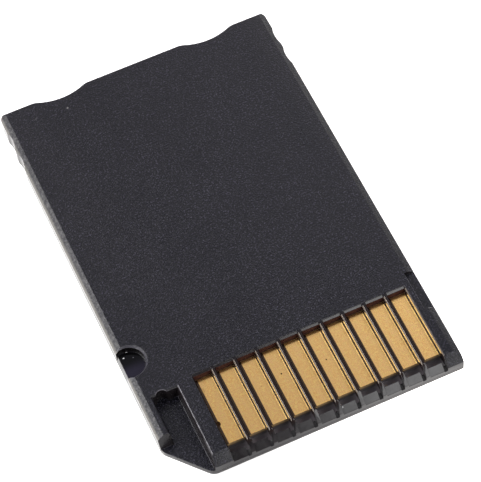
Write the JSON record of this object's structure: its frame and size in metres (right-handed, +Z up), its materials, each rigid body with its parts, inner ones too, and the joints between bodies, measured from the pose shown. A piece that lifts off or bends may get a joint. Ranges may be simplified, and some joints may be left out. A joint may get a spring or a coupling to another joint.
{
  "type": "memory card adapter",
  "caption": "Slim black card-shaped adapter with a row of recessed gold contacts along the front edge and a thin slot in the rear edge that takes a smaller memory card.",
  "frame": {"origin": "centre of the label face, under the middle of the card", "axes": "+Y along the card from the contact end to the slot end, +Z up from the label face to the contact face, +X across the card, away from the lock notch"},
  "size_m": [0.02, 0.031, 0.0016],
  "materials": {
    "black_shell": "fine spark texture",
    "board": "dark solder mask on glass-filled laminate",
    "gold_contact": "satin gold plating",
    "spring_metal": "plated spring strip",
    "carrier_plastic": "moulded",
    "chip_package": "moulded",
    "ceramic": "fired"
  },
  "bodies": {
    "root": {"contact_side_shell": "black_shell", "label_side_cover": "black_shell", "circuit_board": "board", "host_contact_01": "gold_contact", "host_contact_02": "gold_contact", "host_contact_03": "gold_contact", "host_contact_04": "gold_contact", "host_contact_05": "gold_contact", "host_contact_06": "gold_contact", "host_contact_07": "gold_contact", "host_contact_08": "gold_contact", "host_contact_09": "gold_contact", "host_contact_10": "gold_contact", "card_spring_1": "spring_metal", "card_spring_2": "spring_metal", "card_spring_3": "spring_metal", "card_spring_4": "spring_metal", "card_spring_5": "spring_metal", "card_spring_6": "spring_metal", "card_spring_7": "spring_metal", "card_spring_8": "spring_metal", "spring_carrier": "carrier_plastic", "bridge_chip": "chip_package", "capacitor_1": "ceramic", "capacitor_2": "ceramic", "capacitor_3": "ceramic", "resistor_1": "chip_package", "resistor_2": "chip_package"}
  },
  "joints": []
}
